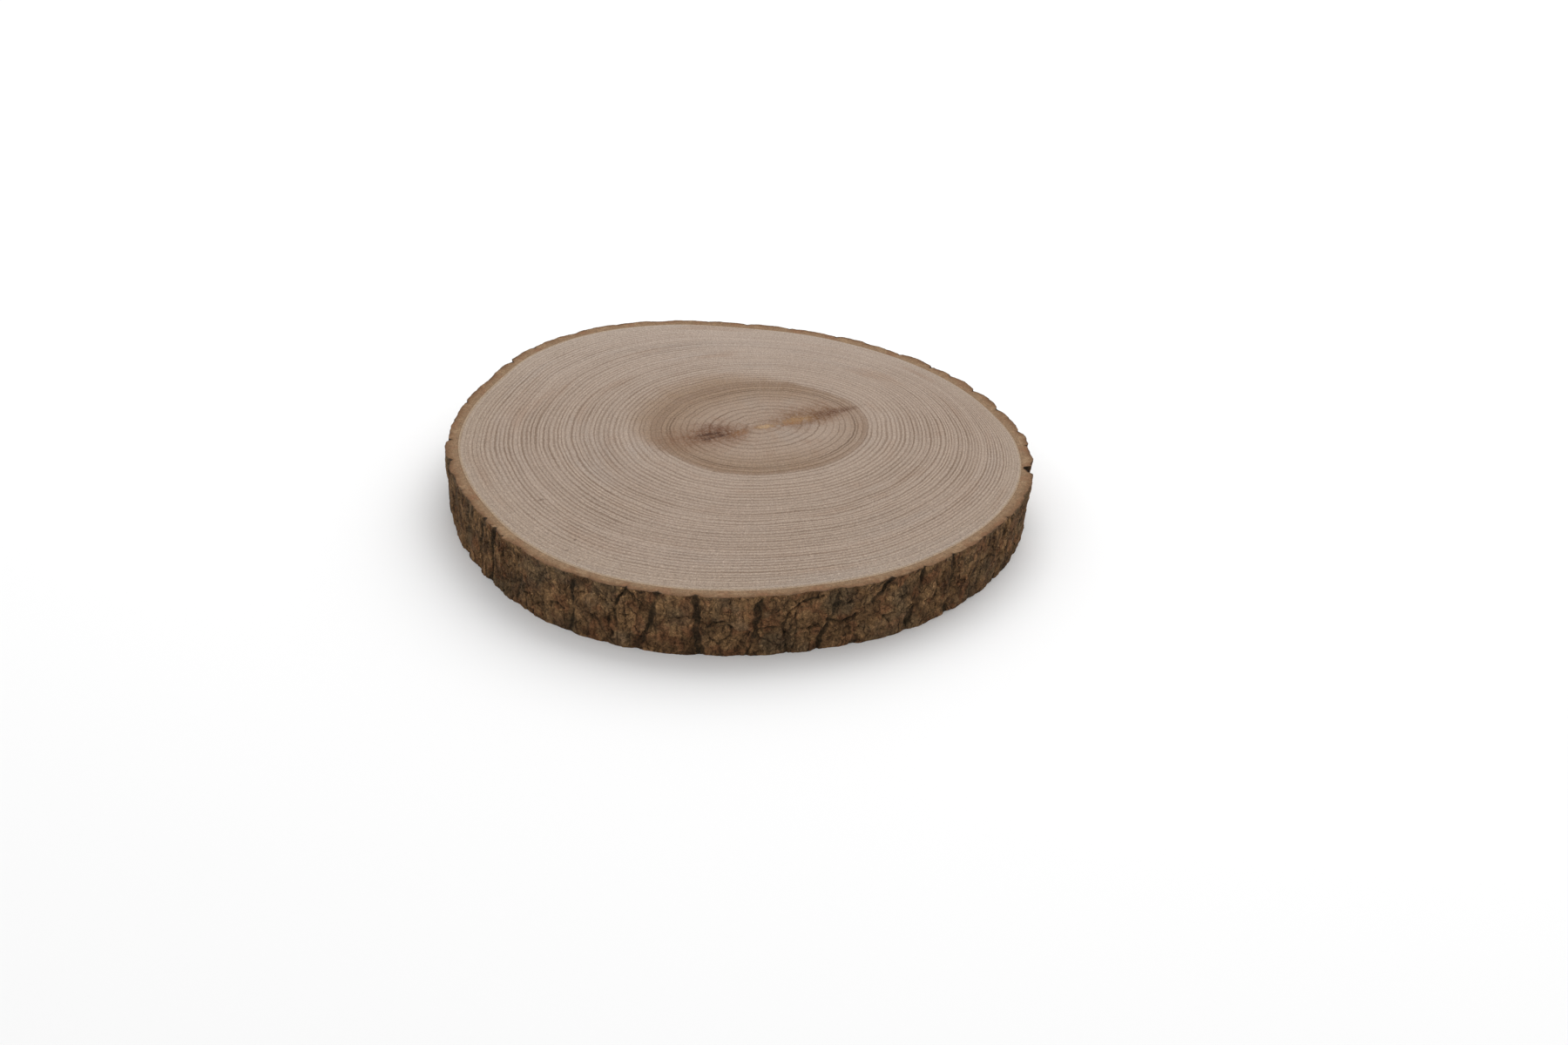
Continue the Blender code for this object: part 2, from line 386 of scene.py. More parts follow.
    def scale_relief(self, ridge, across, height, place):
        """Level of the scale at a place on a ridge, and how deep in a crack the place is."""
        cracks, levels = self.ridges[ridge]
        crack = 0.0
        scale = 0
        jag = 2.6 * MM * noise.noise(place / 5.3) + 0.9 * MM * noise.noise(place / 1.9)
        broken = varied(place, *CRACK_STRENGTH)
        for at_left, at_right in cracks:
            above = height + jag - (at_left + (at_right - at_left) * across)
            crack += broken * math.exp(-((above / (0.36 * CRACK_HALF_WIDTH)) ** 2))
            scale += above > 0
        return levels[scale] - CRACK_DEPTH * crack, crack

    def flakes(self, place):
        """Thin flakes of the outer layers: their level, their tone and the splits between them."""
        bent = place + 2.2 * drift(place / 5.0) + 0.6 * drift(place / 1.7)
        bent.z *= 0.75
        near, points = noise.voronoi(bent / FLAKE_SIZE)
        edge = near[1] - near[0]
        tone = noise.cell(points[0] * 17.0)
        split = 0.8 * varied(place, *SPLIT_STRENGTH) * max(0.0, 1 - edge / 0.07)
        flattened = Vector((place.x, place.y, place.z * 0.75))
        layer = noise.fractal(flattened / LAYER_SIZE, 0.85, 2.1, 4)
        step = math.floor(layer * LAYER_STEPS) / LAYER_STEPS
        level = 0.45 * layer + 0.55 * step
        return (0.30 * (tone - 0.5) + 0.42 * level) * MM, tone, split


def varied(place, size, shift, middle, reach, least, most):
    """Value that wanders smoothly from place to place, within bounds."""
    return min(most, max(least, middle + reach * noise.noise(place / size + Vector(shift))))


def bark_grain(place):
    """Height in mm of the bark's grain."""
    reach, size = COARSE_GRAIN
    grain = reach * noise.noise(Vector((place.x, place.y, place.z * 0.6)) / size)
    reach, size = FINE_GRAIN
    return grain + reach * noise.noise(place / size)


def drift(place):
    """Smooth vector of three noises, the same in every run."""
    return Vector([noise.noise(place + Vector(shift)) for shift in DRIFT_SHIFTS])


def smooth_step(low, high, value):
    """Rise from 0 to 1 between two values, smooth at both ends."""
    share = min(1.0, max(0.0, (value - low) / (high - low)))
    return share * share * (3 - 2 * share)


def front_crack(degrees, radius, height, place):
    """How deep in a drawn crack a place is, and a little below 0 on its lifted edges."""
    turned = degrees % 360
    around = Vector((math.radians(turned) * radius / MM, (THICKNESS - height) / MM))
    jag = Vector((noise.noise(place / 1.6), noise.noise(place / 1.6 + Vector((9, 2, 5)))))
    around += FRONT_CRACK_JAG * jag
    share, distance, half_width = LIFTED_EDGE
    depth = 0.0
    for crack in FRONT_CRACKS:
        angles = [angle for angle, _ in crack]
        first = min(angles) - FRONT_CRACK_REACH_DEG
        last = max(angles) + FRONT_CRACK_REACH_DEG
        if not first < turned < last:
            continue
        points = [Vector((math.radians(angle) * radius / MM, down)) for angle, down in crack]
        near = min(segment_distance(around, a, b) for a, b in zip(points, points[1:]))
        groove = math.exp(-((near * MM / FRONT_CRACK_WIDTH) ** 2))
        lifted = share * math.exp(-(((near - distance) / half_width) ** 2))
        depth = groove - lifted if abs(groove - lifted) > abs(depth) else depth
    return depth


def segment_distance(point, start, end):
    """Distance of a point from the straight line between two others."""
    along = end - start
    share = (point - start).dot(along) / along.length_squared
    return (point - start - along * min(1.0, max(0.0, share))).length


def furrow_section(distance):
    """Depth of a furrow, from 1 along its middle to 0 beyond its side, in half widths."""
    share = min(1.0, max(0.0, (FURROW_END - distance) / FURROW_SIDE))
    return share * share * (3 - 2 * share)


def reset_selection():
    """Deselect every object."""
    for thing in bpy.context.selected_objects:
        thing.select_set(False)


def new_section(name, inner, outer):
    """Upright rectangle in the XZ plane, the section of a ring from one radius to another."""
    reset_selection()
    bpy.ops.mesh.primitive_plane_add(
        size=1, location=((inner + outer) / 2, 0, THICKNESS / 2), rotation=(math.radians(90), 0, 0)
    )
    section = bpy.context.object
    section.name = name
    section.data.name = name
    section.scale = (outer - inner, THICKNESS, 1)
    bpy.ops.object.transform_apply(location=True, rotation=True, scale=True)
    return section


def select_edges(section, chosen):
    """Select the edges of a section that a test picks by their two ends, in edit mode."""
    bpy.ops.object.mode_set(mode="EDIT")
    bpy.ops.mesh.select_all(action="DESELECT")
    bpy.ops.mesh.select_mode(type="EDGE")
    mesh = bmesh.from_edit_mesh(section.data)
    for edge in mesh.edges:
        edge.select_set(chosen(edge.verts[0].co, edge.verts[1].co))
    bmesh.update_edit_mesh(section.data)


def cut_edges(section, chosen, cuts):
    """Subdivide the edges of a section that a test picks by their two ends."""
    select_edges(section, chosen)
    bpy.ops.mesh.subdivide(number_cuts=cuts)
    bpy.ops.object.mode_set(mode="OBJECT")


def delete_edges(section, chosen):
    """Delete the edges of a section that a test picks by their two ends."""
    select_edges(section, chosen)
    bpy.ops.mesh.delete(type="EDGE")
    bpy.ops.object.mode_set(mode="OBJECT")


def delete_face():
    """Delete the face of the active section and keep its edges."""
    bpy.ops.object.mode_set(mode="EDIT")
    bpy.ops.mesh.select_all(action="SELECT")
    bpy.ops.mesh.delete(type="ONLY_FACE")
    bpy.ops.object.mode_set(mode="OBJECT")


def spin_section(section, columns):
    """Turn a section round the trunk into a closed mesh with its faces outwards."""
    screw = section.modifiers.new("round the trunk", "SCREW")
    screw.axis = "Z"
    screw.steps = columns
    screw.render_steps = columns
    screw.use_merge_vertices = True
    screw.merge_threshold = MERGE_DISTANCE
    bpy.ops.object.modifier_apply(modifier=screw.name)
    bpy.ops.object.mode_set(mode="EDIT")
    bpy.ops.mesh.select_all(action="SELECT")
    bpy.ops.mesh.remove_doubles(threshold=MERGE_DISTANCE)
    bpy.ops.object.mode_set(mode="OBJECT")
    refresh_normals()


def refresh_normals():
    """Turn all faces of the active mesh outwards."""
    bpy.ops.object.mode_set(mode="EDIT")
    bpy.ops.mesh.select_all(action="SELECT")
    bpy.ops.mesh.normals_make_consistent(inside=False)
    bpy.ops.mesh.select_all(action="DESELECT")
    bpy.ops.object.mode_set(mode="OBJECT")


def add_attribute(mesh, name, values):
    """Store one number for each vertex, for the materials to read."""
    attribute = mesh.attributes.new(name, "FLOAT", "POINT")
    attribute.data.foreach_set("value", np.asarray(values, np.float32))


def ring_reach(ring):
    """Mean distance in millimetres of a growth ring from the pith."""
    return RING_WIDTH * ring + YOUNG_GROWTH * (1 - math.exp(-ring / YOUNG_RINGS))


def make_cut_wood():
    """Wood inside the bark, in columns from the pith and rows that follow the growth rings."""
    reach = 0.1
    wood = new_section("cut_wood", 0.0, reach)
    delete_edges(wood, lambda a, b: max(a.x, b.x) < reach / 2)
    for _ in range(2):
        cut_edges(wood, lambda a, b: abs(a.z - b.z) < THICKNESS / 2, WOOD_CUTS)
    spin_section(wood, WOOD_COLUMNS)
    steps = (WOOD_CUTS + 1) ** 2
    pith = Vector((*PITH, 0))
    cambium = []
    for column in range(WOOD_COLUMNS):
        radius = trunk_radius(360 * column / WOOD_COLUMNS) - BARK_THICKNESS
        angle = math.tau * column / WOOD_COLUMNS
        cambium.append(Vector((radius * math.cos(angle), radius * math.sin(angle), 0)) - pith)
    mean_reach = sum(spoke.length for spoke in cambium) / len(cambium)
    rings = []
    for vertex in wood.data.vertices:
        x, y, height = vertex.co
        ring = RINGS * round(math.hypot(x, y) / reach * steps) / steps
        column = round(math.degrees(math.atan2(y, x)) / 360 * WOOD_COLUMNS) % WOOD_COLUMNS
        spoke = cambium[column]
        share = ring_reach(ring) / ring_reach(RINGS)
        follow = (ring / RINGS) ** 1.4
        length = share * (mean_reach + follow * (spoke.length - mean_reach))
        off_trace = math.atan2(spoke.y, spoke.x) - math.radians(TRACE_DEGREES)
        length *= 1 + TRACE_STRETCH * math.exp(-ring / TRACE_RINGS) * math.cos(2 * off_trace)
        place = pith + spoke.normalized() * length
        vertex.co = taken_in(place.x, place.y, height)
        rings.append(ring)
    refresh_normals()
    add_attribute(wood.data, "ring", rings)
    return wood


def make_bark():
    """Ring of bark: the rough outside, its sawn section on both faces and the side on the wood."""
    bark = Bark()
    inner = trunk_radius(0) - BARK_THICKNESS
    ring = new_section("bark", inner, inner + BARK_THICKNESS)
    delete_face()
    middle = inner + BARK_THICKNESS / 2
    cut_edges(ring, lambda a, b: min(a.x, b.x) > middle, BARK_ROWS - 1)
    cut_edges(ring, lambda a, b: abs(a.x - b.x) > BARK_THICKNESS / 2, BAND_CUTS)
    columns = BARK_COLUMNS_PER_RIDGE * len(bark.fissures)
    spin_section(ring, columns)
    mesh = ring.data
    marks = {name: np.zeros(len(mesh.vertices)) for name in ("relief", "depth", "tone", "band")}
    found = {}
    for vertex in mesh.vertices:
        x, y, height = vertex.co
        band = (math.hypot(x, y) - inner) / BARK_THICKNESS
        column = round(math.degrees(math.atan2(y, x)) / 360 * columns) % columns
        ridge, place = divmod(column, BARK_COLUMNS_PER_RIDGE)
        key = column, round(height / MM, 3)
        if key not in found:
            found[key] = bark.surface(ridge, place / BARK_COLUMNS_PER_RIDGE, height)
        degrees, radius, relief, depth, tone = found[key]
        cambium = radius - BARK_THICKNESS
        vertex.co = on_trunk(degrees, cambium + band * (BARK_THICKNESS + relief), height)
        for name, value in zip(marks, (relief / MM, depth, tone, band)):
            marks[name][vertex.index] = value
    refresh_normals()
    for name, values in marks.items():
        add_attribute(mesh, name, values)
    return ring


class Nodes:
    """Shorthand to add linked nodes to a material or a node group."""

    def __init__(self, tree):
        self.tree = tree

    def add(self, kind, inputs, **settings):
        node = self.tree.nodes.new(kind)
        for name, value in settings.items():
            setattr(node, name, value)
        for name, value in inputs.items():
            self.set(node.inputs[name], value)
        return node

    def set(self, socket, value):
        """Link a socket to another, or give it a plain value."""
        if isinstance(value, bpy.types.NodeSocket):
            self.tree.links.new(value, socket)
        else:
            socket.default_value = value

    def attribute(self, name):
        return self.add("ShaderNodeAttribute", {}, attribute_name=name).outputs["Fac"]

    def place(self):
        return self.add("ShaderNodeTexCoord", {}).outputs["Object"]

    def math(self, operation, *values):
        return self.add("ShaderNodeMath", dict(enumerate(values)), operation=operation).outputs[0]

    def vector_math(self, operation, *values):
        inputs = dict(enumerate(values))
        return self.add("ShaderNodeVectorMath", inputs, operation=operation).outputs

    def product(self, first, *others):
        for other in others:
            first = self.math("MULTIPLY", first, other)
        return first

    def spread(self, value, reach):
        """Turn a value from 0 to 1 into one from minus to plus a reach."""
        return self.math("MULTIPLY_ADD", value, 2 * reach, -reach)

    def mapped(self, vector, scale, location=(0, 0, 0)):
        inputs = {"Vector": vector, "Location": location, "Scale": scale}
        return self.add("ShaderNodeMapping", inputs).outputs[0]

    def noise(self, vector, scale, detail=2.0, roughness=0.5, output="Fac"):
        inputs = {"Vector": vector, "Scale": scale, "Detail": detail, "Roughness": roughness}
        return self.add("ShaderNodeTexNoise", inputs).outputs[output]

    def along(self, value, scale, detail=2.0):
        inputs = {"W": value, "Scale": scale, "Detail": detail}
        return self.add("ShaderNodeTexNoise", inputs, noise_dimensions="1D").outputs["Fac"]

    def ramp(self, value, low, high, to_low=0.0, to_high=1.0, kind="SMOOTHSTEP"):
        """Value that changes between two places of another and stays put beyond them."""
        inputs = {"Value": value, "From Min": low, "From Max": high}
        inputs.update({"To Min": to_low, "To Max": to_high})
        return self.add("ShaderNodeMapRange", inputs, interpolation_type=kind).outputs["Result"]

    def between(self, value, start, full, fading, end):
        """Mask that rises between two places of a value and falls between two others."""
        return self.product(self.ramp(value, start, full), self.ramp(value, fading, end, 1.0, 0.0))

    def mix(self, factor, first, second, blend="MIX"):
        """Colour between two others."""
        node = self.add("ShaderNodeMix", {}, data_type="RGBA", blend_type=blend)
        for index, value in ((0, factor), (6, first), (7, second)):
            self.set(node.inputs[index], value)
        return node.outputs[2]

    def shaded(self, colour, level):
        """Colour made lighter or darker."""
        inputs = {"Red": level, "Green": level, "Blue": level}
        grey = self.add("ShaderNodeCombineColor", inputs).outputs[0]
        return self.mix(1.0, colour, grey, "MULTIPLY")

    def parts(self, vector):
        return self.add("ShaderNodeSeparateXYZ", {0: vector}).outputs

    def bump(self, first, *others):
        """Normal from masks, each with its rise in millimetres."""
        height = self.product(*first)
        for mask, rise in others:
            height = self.math("MULTIPLY_ADD", mask, rise, height)
        return self.add("ShaderNodeBump", {"Height": height, "Distance": MM}).outputs["Normal"]

    def group(self, group, inputs):
        node = self.add("ShaderNodeGroup", {}, node_tree=group)
        for name, value in inputs.items():
            self.set(node.inputs[name], value)
        return node.outputs


def rgb(red, green, blue):
    """Linear colour of an 8-bit colour as seen."""
    return tuple(channel_light(value / 255) for value in (red, green, blue)) + (1.0,)


def channel_light(value):
    """Linear value of one channel as seen."""
    return value / 12.92 if value <= 0.04045 else ((value + 0.055) / 1.055) ** 2.4


def shades(**seen):
    """Linear colours by name, from 8-bit colours as seen."""
    return {name: rgb(*colour) for name, colour in seen.items()}


WOOD = shades(
    pale=(163, 146, 132),
    buff=(160, 141, 125),
    rim=(164, 147, 130),
    # back: painted highlight, the cut face made paler towards the back, where the light behind the
    # slice falls on it
    back=(176, 162, 151),
    warm=(148, 121, 101),
    cool=(156, 145, 136),
    ring_line=(118, 98, 82),
    aged=(225, 212, 195),
    heart_line=(94, 74, 58),
    dark_ring=(84, 62, 44),
    heart_zone=(120, 97, 79),
    cambium=(160, 138, 112),
    ray=(180, 164, 150),
    dash=(116, 92, 74),
    pore=(112, 94, 80),
)
BARK_SECTION = shades(
    inner=(137, 112, 87),
    outer=(119, 90, 65),
    red=(128, 91, 66),
    tan=(152, 126, 98),
    layer=(106, 80, 59),
    cambium=(110, 90, 72),
    crust=(88, 65, 47),
    # fissure: dark colour where fissures meet the sawn edge, partly painted shade
    fissure=(38, 30, 22),
)
OUTER_BARK = shades(
    brown=(87, 64, 43),
    light=(130, 100, 69),
    flake=(130, 98, 65),
    red=(116, 79, 54),
    tan=(132, 101, 68),
    film=(84, 76, 60),
    # gap: painted shade between the chips of the bark
    gap=(34, 25, 17),
    fibre=(42, 31, 22),
    # ridge: painted highlight on the raised parts of the bark
    ridge=(128, 103, 78),
    # furrow: dark colour of the furrows, partly painted shade
    furrow=(40, 34, 25),
    # crack: painted shade in the fine cracks
    crack=(26, 19, 13),
)


def new_group(name, inputs, outputs):
    """Empty shader group with named sockets, and its nodes, its inputs and its output node."""
    group = bpy.data.node_groups.new(name, "ShaderNodeTree")
    for label, kind in inputs.items():
        group.interface.new_socket(name=label, in_out="INPUT", socket_type="NodeSocket" + kind)
    for label, kind in outputs.items():
        group.interface.new_socket(name=label, in_out="OUTPUT", socket_type="NodeSocket" + kind)
    nodes = Nodes(group)
    given = nodes.add("NodeGroupInput", {}).outputs
    result = nodes.add("NodeGroupOutput", {}).inputs
    return group, nodes, given, result


def make_fine_grain():
    """Group that speckles a colour and gives the specks' height, from -1 to 1."""
    group, nodes, given, result = new_group(
        "fine grain",
        {"Color": "Color", "Vector": "Vector", "Size": "Float", "Strength": "Float"},
        {"Color": "Color", "Height": "Float"},
    )
    size = given["Size"]
    sizes = nodes.add("ShaderNodeCombineXYZ", {"X": size, "Y": size, "Z": size}).outputs[0]
    vector = nodes.vector_math("DIVIDE", given["Vector"], sizes)[0]
    spread = nodes.spread(nodes.noise(vector, 1.0, 3.0, 0.65), 1.0)
    light = nodes.math("MULTIPLY_ADD", spread, given["Strength"], 1.0)
    nodes.set(result["Color"], nodes.shaded(given["Color"], light))
    nodes.set(result["Height"], spread)
    return group


def speckled(nodes, fine_grain, colour, vector, size, strength):
    """Colour with fine grain in it, and the grain's height."""
    inputs = {"Color": colour, "Vector": vector, "Size": size, "Strength": strength}
    outputs = nodes.group(fine_grain, inputs)
    return outputs["Color"], outputs["Height"]


def make_stain():
    """Group that masks an oval place, with an edge that frays into streaks along its length."""
    group, nodes, given, result = new_group(
        "stain",
        {
            "Vector": "Vector", "Middle": "Vector", "Turn": "Vector",
            "Size": "Vector", "Ragged": "Float",
        },
        {"Mask": "Float"},
    )
    inputs = {"Vector": given["Vector"], "Location": given["Middle"], "Rotation": given["Turn"]}
    turned = nodes.add("ShaderNodeMapping", inputs, vector_type="TEXTURE").outputs[0]
    local = nodes.vector_math("DIVIDE", turned, given["Size"])[0]
    reach = nodes.vector_math("LENGTH", nodes.mapped(local, (1, 1, 0)))["Value"]
    streaks = nodes.noise(nodes.mapped(turned, (150, 600, 0)), 1.0, 6.0, 0.72)
    feathers = nodes.noise(nodes.mapped(turned, (850, 130, 0)), 1.0, 3.0, 0.6)
    specks = nodes.noise(given["Vector"], 1100.0, 2.0, 0.6)
    lumps = nodes.noise(given["Vector"], 190.0, 6.0, 0.72)
    frayed = nodes.math("ADD", nodes.spread(streaks, 1.0), nodes.spread(lumps, 1.0))
    reach = nodes.math("MULTIPLY_ADD", frayed, given["Ragged"], reach)
    mask = nodes.product(
        nodes.ramp(reach, 0.3, 1.0, 1.0, 0.0),
        nodes.ramp(streaks, 0.35, 0.6, 0.45, 1.0),
        nodes.ramp(feathers, 0.36, 0.6, 0.5, 1.0),
        nodes.ramp(specks, 0.36, 0.54, 0.6, 1.2),
    )
    nodes.set(result["Mask"], mask)
    return group


def new_material(name, roughness):
    """Matt material, with its nodes and its shader."""
    material = bpy.data.materials.new(name)
    material.use_nodes = True
    nodes = Nodes(material.node_tree)
    shader = material.node_tree.nodes["Principled BSDF"]
    shader.inputs["Roughness"].default_value = roughness
    shader.inputs["Specular IOR Level"].default_value = 0.08
    return material, nodes, shader


class EndGrain:
    """Colours and masks of the cut wood, which follow its growth rings."""

    def __init__(self, nodes):
        self.nodes = nodes
        self.place = nodes.place()
        flat = nodes.mapped(self.place, (1, 1, 0), (-PITH[0], -PITH[1], 0))
        self.heading = nodes.vector_math("NORMALIZE", flat)[0]
        self.across = nodes.parts(self.heading)["X"]
        self.back = nodes.parts(self.place)["Y"]
        self.ring = nodes.attribute("ring")
        self.swing = nodes.spread(self.noise(3.0, 0.10), 0.4)
        self.grown = self.uneven_rings()
        self.year = nodes.math("FLOOR", self.grown)
        self.heart = self.heart_mask()
        self.stretch = nodes.ramp(self.noise(2.6, 1.7, ring=self.year), 0.3, 0.6, 0.6, 1.0)
        self.line = self.ring_lines()

    def coordinates(self, around, outwards, ring=None):
        """Coordinates that run round the pith and out across the rings, without a seam."""
        nodes = self.nodes
        turned = nodes.vector_math("MULTIPLY", self.heading, (around, around, 0))[0]
        parts = nodes.parts(turned)
        height = nodes.math("MULTIPLY", ring or self.ring, outwards)
        inputs = {"X": parts["X"], "Y": parts["Y"], "Z": height}
        return nodes.add("ShaderNodeCombineXYZ", inputs).outputs[0]

    def noise(self, around, outwards, detail=2.0, roughness=0.5, ring=None):
        vector = self.coordinates(around, outwards, ring)
        return self.nodes.noise(vector, 1.0, detail, roughness)

    def uneven_rings(self):
        """Ring number, bent and frayed as real rings are."""
        nodes = self.nodes
        sway = nodes.spread(nodes.noise(self.place, 26.0, 2.0), 0.45)
        ragged = nodes.spread(self.noise(60.0, 1.3, 3.0), 0.2)
        uneven = nodes.spread(nodes.along(self.ring, 0.45, 1.0), 0.4)
        grown = self.ring
        for shift in (sway, self.swing, ragged, uneven):
            grown = nodes.math("ADD", grown, shift)
        return grown

    def heart_mask(self):
        """Mask of the darker heart: a clear edge on one ring, spread wide and faint on one side."""
        nodes = self.nodes
        parts = nodes.parts(self.heading)
        angle = math.radians(HEART_SPREAD_DEGREES)
        towards = nodes.math("MULTIPLY", parts["X"], math.cos(angle))
        towards = nodes.math("MULTIPLY_ADD", parts["Y"], math.sin(angle), towards)
        side = nodes.ramp(towards, 0.2, 1.0)
        edge = nodes.math("MULTIPLY_ADD", side, 4.6, HEART_RINGS)
        soft = nodes.math("MULTIPLY_ADD", side, 3.6, 0.6)
        blur = nodes.spread(nodes.noise(self.place, 60.0, 7.0, 0.65), 1.0)
        blur_reach = nodes.math("MULTIPLY_ADD", side, 3.0, 1.0)
        swung = nodes.math("ADD", self.ring, self.swing)
        reach = nodes.math("MULTIPLY_ADD", blur, blur_reach, swung)
        low = nodes.math("SUBTRACT", edge, soft)
        high = nodes.math("ADD", edge, soft)
        return nodes.ramp(reach, low, high, 1.0, 0.0)

    def ring_lines(self):
        """Mask of the dark late wood of each year, stronger in some years and places."""
        nodes = self.nodes
        phase = nodes.math("FRACT", self.grown)
        white = nodes.add("ShaderNodeTexWhiteNoise", {"W": self.year}, noise_dimensions="1D")
        chance = white.outputs["Value"]
        start = nodes.ramp(chance, 0.0, 1.0, 0.30, 0.50, "LINEAR")
        start = nodes.math("MULTIPLY_ADD", self.heart, 0.2, start)
        full = nodes.math("ADD", start, 0.24)
        line = nodes.between(phase, start, full, 0.84, 1.0)
        weakest = nodes.ramp(self.ring, 11.0, 16.0, 0.5, 0.72)
        strength = nodes.math("FRACT", nodes.product(chance, 7.31))
        strength = nodes.ramp(strength, 0.0, 1.0, weakest, 1.0, "LINEAR")
        patches = nodes.ramp(nodes.noise(self.place, 22.0, 2.0), 0.3, 0.65, 0.65, 1.0)
        edge_calm = nodes.ramp(self.ring, RINGS - 8.0, RINGS - 0.5, 1.0, 0.6)
        sides = nodes.ramp(nodes.product(self.across, self.across), 0.1, 0.8, 0.85, 0.95)
        back_calm = nodes.ramp(self.back, 0.04, 0.14, 1.0, 0.72)
        line = nodes.product(line, strength, self.stretch, patches, edge_calm, sides, back_calm)
        double = nodes.between(phase, 0.04, 0.14, 0.16, 0.28)
        some_years = nodes.math("FRACT", nodes.product(chance, 3.77))
        some_years = nodes.ramp(some_years, 0.6, 0.8, 0.0, 0.4)
        outer_years = nodes.ramp(self.ring, 17.0, 22.0)
        double = nodes.product(double, some_years, self.stretch, outer_years)
        return nodes.math("MAXIMUM", line, double)

    def early_wood(self):
        """Pale wood between the lines, a little warmer or cooler from place to place, and made
        paler towards the back as painted highlight.
        """
        nodes = self.nodes
        pale = nodes.mix(nodes.noise(self.place, 14.0, 3.0), WOOD["pale"], WOOD["buff"])
        rim = nodes.ramp(self.ring, RINGS - 10.0, RINGS - 2.0, 0.0, 0.5)
        pale = nodes.mix(rim, pale, WOOD["rim"])
        # Painted highlight: the wood is made paler towards the back, where the light behind the
        # slice falls
        pale = nodes.mix(nodes.ramp(self.back, 0.04, 0.15, 0.0, 0.5), pale, WOOD["back"])
        warm = nodes.ramp(self.noise(2.2, 0.22, 3.0), 0.54, 0.74, 0.0, 0.4)
        pale = nodes.mix(warm, pale, WOOD["warm"])
        cool = nodes.ramp(self.noise(1.7, 0.13, 3.0), 0.54, 0.74, 0.0, 0.35)
        return nodes.mix(cool, pale, WOOD["cool"])

    def rings(self):
        """Colour of the wood with its ring lines, lighter and darker in groups of years."""
        nodes = self.nodes
        colour = nodes.mix(self.line, self.early_wood(), WOOD["ring_line"])
        groups = nodes.ramp(nodes.along(self.grown, 0.23, 2.0), 0.25, 0.75, 0.95, 1.03, "LINEAR")
        return nodes.shaded(colour, groups)

    def with_heart(self, colour):
        """Add the brown of the heart, its darker zones and the thin dark ring in it."""
        nodes = self.nodes
        old = nodes.ramp(self.ring, 4.5, 13.0, 0.3, 1.0)
        aged = nodes.product(self.heart, old, nodes.ramp(self.across, 0.3, 0.95, 1.0, 0.5))
        colour = nodes.mix(aged, colour, nodes.mix(1.0, colour, WOOD["aged"], "MULTIPLY"))
        dark_lines = nodes.product(self.heart, self.line, 0.5)
        colour = nodes.mix(dark_lines, colour, WOOD["heart_line"])
        drawn = nodes.product(nodes.between(self.grown, *DARK_RING), self.stretch, 0.85)
        colour = nodes.mix(drawn, colour, WOOD["dark_ring"])
        zone = nodes.ramp(nodes.along(self.grown, 0.33, 1.0), 0.48, 0.62, 0.0, 0.5)
        zone = nodes.product(self.heart, zone, nodes.ramp(self.ring, 5.0, 9.0))
        return nodes.mix(zone, colour, WOOD["heart_zone"])


def cut_wood_material(fine_grain, stain):
    """End grain: growth rings, the darker heart, rays, pores and stains."""
    material, nodes, shader = new_material("cut wood", 0.62)
    grain = EndGrain(nodes)
    colour = grain.with_heart(grain.rings())
    cambium = nodes.ramp(grain.ring, RINGS - 0.8, RINGS - 0.1, 0.0, 0.7)
    colour = nodes.mix(cambium, colour, WOOD["cambium"])
    rays = grain.noise(240.0, 0.10)
    colour = nodes.mix(nodes.ramp(rays, 0.48, 0.72, 0.0, 0.20), colour, WOOD["ray"])
    dashes = nodes.ramp(grain.noise(210.0, 0.9, 3.0, 0.65), 0.46, 0.66)
    dashes = nodes.product(dashes, nodes.math("MULTIPLY_ADD", grain.heart, 0.30, 0.15))
    colour = nodes.mix(dashes, colour, WOOD["dash"])
    pores = grain.noise(170.0, 4.0)
    colour = nodes.mix(nodes.ramp(pores, 0.54, 0.70, 0.0, 0.50), colour, WOOD["pore"])
    colour = add_stains(nodes, stain, grain.place, colour)
    colour, _ = speckled(nodes, fine_grain, colour, grain.coordinates(0.11, 0.0035), 0.0011, 0.42)
    colour, specks = speckled(nodes, fine_grain, colour, grain.place, 0.0007, 0.65)
    nodes.set(shader.inputs["Base Color"], colour)
    normal = nodes.bump((specks, 0.03), (grain.line, -0.05), (rays, 0.05), (pores, -0.06))
    nodes.set(shader.inputs["Normal"], normal)
    nodes.set(shader.inputs["Roughness"], nodes.ramp(grain.line, 0.0, 1.0, 0.58, 0.72))
    return material


def add_stains(nodes, stain, place, colour):
    """Brown traces of two early branches beside the pith, the pith and a few dark specks."""
    for distance, direction, aside, length, width, ragged, strength, tint in STAINS:
        angle = math.radians(direction)
        middle = (
            PITH[0] + (distance * math.cos(angle) - aside * math.sin(angle)) * MM,
            PITH[1] + (distance * math.sin(angle) + aside * math.cos(angle)) * MM,
            0,
        )
        inputs = {
            "Vector": place,
            "Middle": middle,
            "Turn": (0, 0, angle),
            "Size": (length * MM, width * MM, 1),
            "Ragged": ragged,
        }
        mask = nodes.group(stain, inputs)["Mask"]
        colour = nodes.mix(nodes.product(mask, strength), colour, rgb(*tint))
    return colour


